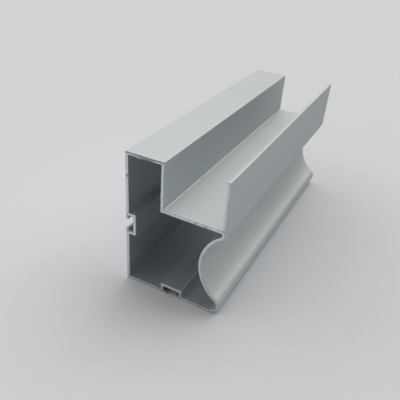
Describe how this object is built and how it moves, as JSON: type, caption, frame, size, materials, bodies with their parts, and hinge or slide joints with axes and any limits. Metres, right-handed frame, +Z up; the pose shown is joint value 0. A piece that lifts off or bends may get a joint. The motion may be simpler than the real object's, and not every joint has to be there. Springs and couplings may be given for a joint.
{
  "type": "aluminium extrusion profile",
  "caption": "Short length of hollow aluminium door-edge extrusion with a panel rebate behind an upright fin, a finger-pull cove with a round nose, and narrow slots for sealing strips.",
  "frame": {"origin": "middle of the footprint on the surface that it stands on, under the middle of the length", "axes": "+Z up, +Y along the extrusion, +X from the back face towards the fin and the finger pull"},
  "size_m": [0.0434, 0.13, 0.06],
  "materials": {
    "anodised_aluminium": "satin natural anodised, sawn bare metal on the two ends"
  },
  "bodies": {
    "root": {"extrusion_profile": "anodised_aluminium"}
  },
  "joints": []
}
